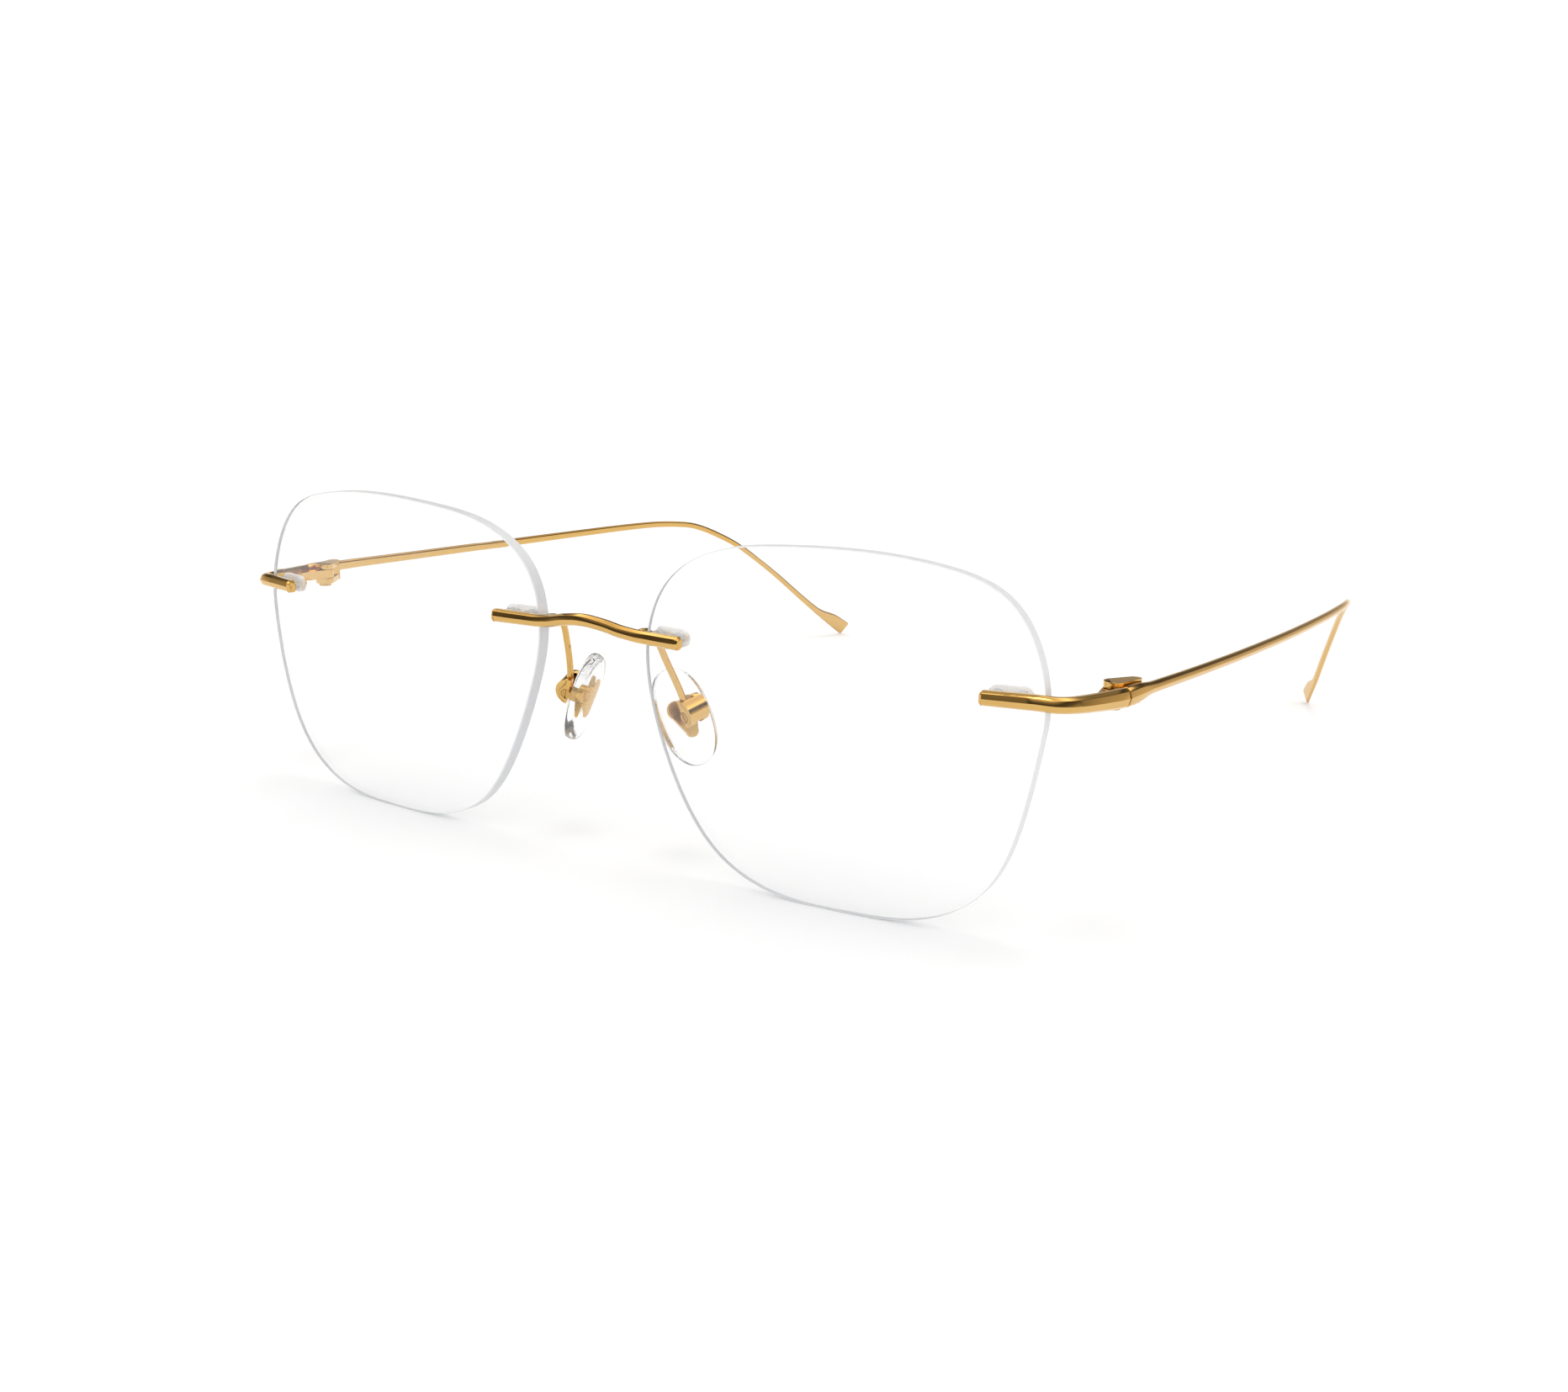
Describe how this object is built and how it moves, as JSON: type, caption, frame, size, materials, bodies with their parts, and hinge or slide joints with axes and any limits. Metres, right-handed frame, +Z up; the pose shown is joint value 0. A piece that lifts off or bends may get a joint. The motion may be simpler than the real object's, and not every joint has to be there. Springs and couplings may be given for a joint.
{
  "type": "rimless eyeglasses",
  "caption": "Rimless eyeglasses with clear shaped lenses on a gold bridge and endpieces, folding gold temples with flat tips, and rocking clear nose pads.",
  "frame": {"origin": "middle of the footprint on the table, under the open glasses standing on the lower edges of the lenses and the ends of the temples", "axes": "+X to the wearer's left, +Y from the lenses back to the ear ends of the temples, +Z up"},
  "size_m": [0.1318, 0.1494, 0.0423],
  "materials": {
    "gold": "polished gold plating",
    "screw_gold": "polished gold plating, slightly darker",
    "lens": "clear polished plastic demonstration lens",
    "clear_plastic": "clear moulded plastic",
    "silicone": "clear soft silicone"
  },
  "bodies": {
    "front": {"bridge": "gold", "lens_left": "lens", "bridge_pins_left": "gold", "bridge_sleeve_left": "clear_plastic", "endpiece_pins_left": "gold", "endpiece_sleeve_left": "clear_plastic", "endpiece_left": "gold", "endpiece_knuckle_left": "gold", "pad_arm_left": "gold", "pad_box_left": "gold", "pad_screw_left": "screw_gold", "lens_right": "lens", "bridge_pins_right": "gold", "bridge_sleeve_right": "clear_plastic", "endpiece_pins_right": "gold", "endpiece_sleeve_right": "clear_plastic", "endpiece_right": "gold", "endpiece_knuckle_right": "gold", "pad_arm_right": "gold", "pad_box_right": "gold", "pad_screw_right": "screw_gold"},
    "temple_left": {"temple_left": "gold", "temple_knuckles_left": "gold", "hinge_screw_left": "screw_gold"},
    "nose_pad_left": {"nose_pad_left": "silicone", "pad_core_left": "gold"},
    "temple_right": {"temple_right": "gold", "temple_knuckles_right": "gold", "hinge_screw_right": "screw_gold"},
    "nose_pad_right": {"nose_pad_right": "silicone", "pad_core_right": "gold"}
  },
  "joints": [
    {"name": "temple_left_fold", "type": "hinge", "parent": "front", "child": "temple_left", "pos_m": [0.0609, -0.05633, 0.02728], "axis": [0, -0.0058, 1], "range_deg": [0, 90]},
    {"name": "temple_right_fold", "type": "hinge", "parent": "front", "child": "temple_right", "pos_m": [-0.0609, -0.05633, 0.02728], "axis": [0, 0.0058, -1], "range_deg": [0, 85]},
    {"name": "nose_pad_left_rock", "type": "hinge", "parent": "front", "child": "nose_pad_left", "pos_m": [0.0099, -0.06388, 0.01868], "axis": [0.2348, 0.9393, 0.2502], "range_deg": [-8, 8]},
    {"name": "nose_pad_right_rock", "type": "hinge", "parent": "front", "child": "nose_pad_right", "pos_m": [-0.0099, -0.06388, 0.01868], "axis": [-0.2348, 0.9393, 0.2502], "range_deg": [-8, 8]}
  ]
}
